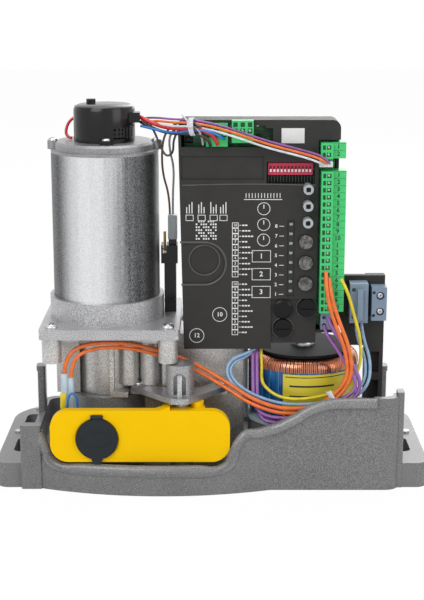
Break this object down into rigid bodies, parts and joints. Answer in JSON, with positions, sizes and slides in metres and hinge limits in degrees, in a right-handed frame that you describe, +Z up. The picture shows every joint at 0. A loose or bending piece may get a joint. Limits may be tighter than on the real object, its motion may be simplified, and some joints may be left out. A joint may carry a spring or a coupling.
{
  "type": "sliding gate motor",
  "caption": "Sliding gate operator without its cover: vertical motor on a worm gearbox with a rear drive pinion, yellow manual release lever, toroidal transformer and control board on a cast base.",
  "frame": {"origin": "centre of the four foundation slots, on the underside of the base", "axes": "+Z up, +Y towards the gate (the pinion's side), +X to the right of a person who faces the release lever"},
  "size_m": [0.314, 0.2001, 0.2756],
  "materials": {
    "painted_casting": "dark grey hammer paint, fine speckle",
    "raw_casting": "bare sand-cast aluminium, matt",
    "galvanised_steel": "spangled galvanised tube",
    "zinc_steel": "bright zinc plated",
    "ground_steel": "ground steel",
    "magnet_ferrite": "ferrite",
    "rotor_stack": "laminations and copper",
    "bronze": "worm wheel bronze",
    "seal_rubber": "nitrile",
    "black_plastic": "black moulded plastic",
    "yellow_plastic": "yellow moulded plastic",
    "cover_rubber": "blue-black rubber",
    "lock_metal": "nickel plated",
    "case_plastic": "dark grey fine-grained plastic",
    "board_green": "solder mask",
    "switch_red": "red moulding",
    "lever_white": "white moulding",
    "knob_grey": "pale grey moulding",
    "button_smoke": "smoky translucent",
    "cap_black": "black moulding",
    "terminal_green": "green moulding",
    "terminal_blue_grey": "blue-grey moulding",
    "winding_film": "blue polyester film over copper winding",
    "pad_black": "black rubber pad",
    "pad_pale": "pale blue-white pad",
    "lever_brass": "brass",
    "wire_cover": "PVC insulation",
    "sleeve_clear": "translucent sleeve"
  },
  "bodies": {
    "frame": {"base_casting": "painted_casting", "levelling_screws": "zinc_steel", "motor_flange": "raw_casting", "motor_shell": "galvanised_steel", "stator_magnets": "magnet_ferrite", "motor_end_cap": "raw_casting", "encoder_cover": "black_plastic", "ball_bearings": "ground_steel", "shaft_seal": "seal_rubber", "gearbox_cover": "raw_casting", "gearbox_housing": "raw_casting", "release_bracket": "raw_casting", "release_switch": "black_plastic", "board_tray": "case_plastic", "circuit_board": "board_green", "board_cover": "case_plastic", "dip_switch": "switch_red", "terminal_strips": "terminal_green", "terminal_support": "cap_black", "power_terminals": "terminal_blue_grey", "transformer": "winding_film", "transformer_base_pad": "pad_pale", "transformer_top_pad": "pad_black", "limit_switch": "cap_black", "machine_screws": "zinc_steel", "wiring": "wire_cover", "wire_sleeves": "sleeve_clear"},
    "output": {"output_shaft": "ground_steel", "worm_wheel": "bronze", "drive_pinion": "ground_steel", "pinion_fixings": "zinc_steel"},
    "rotor": {"rotor_shaft": "ground_steel", "rotor_core": "rotor_stack", "encoder_disc": "black_plastic"},
    "handle": {"release_handle": "yellow_plastic"},
    "lock": {"lock_cylinder": "lock_metal"},
    "lock_lid": {"lock_cover": "cover_rubber"},
    "pin": {"release_pin": "ground_steel"},
    "plunger": {"switch_plunger": "lever_white"},
    "limit_lever": {"limit_switch_lever": "lever_brass"},
    "dip_01": {"dip_lever_01": "lever_white"},
    "dip_02": {"dip_lever_02": "lever_white"},
    "dip_03": {"dip_lever_03": "lever_white"},
    "dip_04": {"dip_lever_04": "lever_white"},
    "dip_05": {"dip_lever_05": "lever_white"},
    "dip_06": {"dip_lever_06": "lever_white"},
    "dip_07": {"dip_lever_07": "lever_white"},
    "dip_08": {"dip_lever_08": "lever_white"},
    "dip_09": {"dip_lever_09": "lever_white"},
    "dip_10": {"dip_lever_10": "lever_white"},
    "dip_11": {"dip_lever_11": "lever_white"},
    "dip_12": {"dip_lever_12": "lever_white"},
    "trim_1": {"trimmer_1": "knob_grey"},
    "button_1": {"push_button_1": "button_smoke"},
    "trim_2": {"trimmer_2": "knob_grey"},
    "button_2": {"push_button_2": "button_smoke"},
    "trim_3": {"trimmer_3": "knob_grey"},
    "button_3": {"push_button_3": "button_smoke"},
    "fuse_1": {"fuse_cap_1": "cap_black"},
    "fuse_2": {"fuse_cap_2": "cap_black"}
  },
  "joints": [
    {"name": "rotor_spin", "type": "hinge", "parent": "frame", "child": "rotor", "pos_m": [-0.0772, -0.021, 0.058], "axis": [0, 0, 1], "continuous": true},
    {"name": "output_spin", "type": "hinge", "parent": "frame", "child": "output", "pos_m": [-0.022, 0.08, 0.058], "axis": [0, 1, 0], "continuous": true},
    {"name": "handle_swing", "type": "hinge", "parent": "frame", "child": "handle", "pos_m": [-0.022, -0.0685, 0.05], "axis": [0, 0, 1], "range_deg": [0, 90]},
    {"name": "pin_push", "type": "slide", "parent": "frame", "child": "pin", "axis": [0, 1, 0], "range_m": [0, 0.003]},
    {"name": "lock_turn", "type": "hinge", "parent": "handle", "child": "lock", "pos_m": [-0.082, -0.07, 0.0408], "axis": [0, 1, 0], "range_deg": [0, 90]},
    {"name": "lid_flip", "type": "hinge", "parent": "handle", "child": "lock_lid", "pos_m": [-0.082, -0.0806, 0.0571], "axis": [-1, 0, 0], "range_deg": [0, 110]},
    {"name": "plunger_push", "type": "slide", "parent": "frame", "child": "plunger", "axis": [0, 1, 0], "range_m": [0, 0.0015], "stiffness_N_per_m": 250},
    {"name": "limit_swing", "type": "hinge", "parent": "frame", "child": "limit_lever", "pos_m": [-0.0349, -0.01, 0.165], "axis": [1, 0, 0], "range_deg": [-30, 30], "stiffness_Nm_per_rad": 0.02},
    {"name": "dip_01_slide", "type": "slide", "parent": "frame", "child": "dip_01", "axis": [0, 0, 1], "range_m": [0, 0.0021]},
    {"name": "dip_02_slide", "type": "slide", "parent": "frame", "child": "dip_02", "axis": [0, 0, 1], "range_m": [0, 0.0021]},
    {"name": "dip_03_slide", "type": "slide", "parent": "frame", "child": "dip_03", "axis": [0, 0, 1], "range_m": [0, 0.0021]},
    {"name": "dip_04_slide", "type": "slide", "parent": "frame", "child": "dip_04", "axis": [0, 0, 1], "range_m": [0, 0.0021]},
    {"name": "dip_05_slide", "type": "slide", "parent": "frame", "child": "dip_05", "axis": [0, 0, 1], "range_m": [0, 0.0021]},
    {"name": "dip_06_slide", "type": "slide", "parent": "frame", "child": "dip_06", "axis": [0, 0, 1], "range_m": [0, 0.0021]},
    {"name": "dip_07_slide", "type": "slide", "parent": "frame", "child": "dip_07", "axis": [0, 0, 1], "range_m": [0, 0.0021]},
    {"name": "dip_08_slide", "type": "slide", "parent": "frame", "child": "dip_08", "axis": [0, 0, 1], "range_m": [0, 0.0021]},
    {"name": "dip_09_slide", "type": "slide", "parent": "frame", "child": "dip_09", "axis": [0, 0, 1], "range_m": [0, 0.0021]},
    {"name": "dip_10_slide", "type": "slide", "parent": "frame", "child": "dip_10", "axis": [0, 0, 1], "range_m": [0, 0.0021]},
    {"name": "dip_11_slide", "type": "slide", "parent": "frame", "child": "dip_11", "axis": [0, 0, 1], "range_m": [0, 0.0021]},
    {"name": "dip_12_slide", "type": "slide", "parent": "frame", "child": "dip_12", "axis": [0, 0, 1], "range_m": [0, 0.0021]},
    {"name": "trimmer_1_turn", "type": "hinge", "parent": "frame", "child": "trim_1", "pos_m": [0.0682, -0.045, 0.215], "axis": [0, 1, 0], "range_deg": [-135, 135]},
    {"name": "trimmer_2_turn", "type": "hinge", "parent": "frame", "child": "trim_2", "pos_m": [0.0682, -0.045, 0.203], "axis": [0, 1, 0], "range_deg": [-135, 135]},
    {"name": "trimmer_3_turn", "type": "hinge", "parent": "frame", "child": "trim_3", "pos_m": [0.0682, -0.045, 0.191], "axis": [0, 1, 0], "range_deg": [-135, 135]},
    {"name": "button_1_press", "type": "slide", "parent": "frame", "child": "button_1", "axis": [0, 1, 0], "range_m": [0, 0.0008], "stiffness_N_per_m": 300},
    {"name": "button_2_press", "type": "slide", "parent": "frame", "child": "button_2", "axis": [0, 1, 0], "range_m": [0, 0.0008], "stiffness_N_per_m": 300},
    {"name": "button_3_press", "type": "slide", "parent": "frame", "child": "button_3", "axis": [0, 1, 0], "range_m": [0, 0.0008], "stiffness_N_per_m": 300},
    {"name": "fuse_1_turn", "type": "hinge", "parent": "frame", "child": "fuse_1", "pos_m": [0.0688, -0.042, 0.1271], "axis": [0, 1, 0], "range_deg": [-90, 0]},
    {"name": "fuse_2_turn", "type": "hinge", "parent": "frame", "child": "fuse_2", "pos_m": [0.0515, -0.042, 0.112], "axis": [0, 1, 0], "range_deg": [-90, 0]}
  ],
  "couplings": [
    {"joint": "output_spin", "follows": "rotor_spin", "ratio": -0.033333},
    {"joint": "pin_push", "follows": "handle_swing", "m_per_rad": 0.001909}
  ]
}
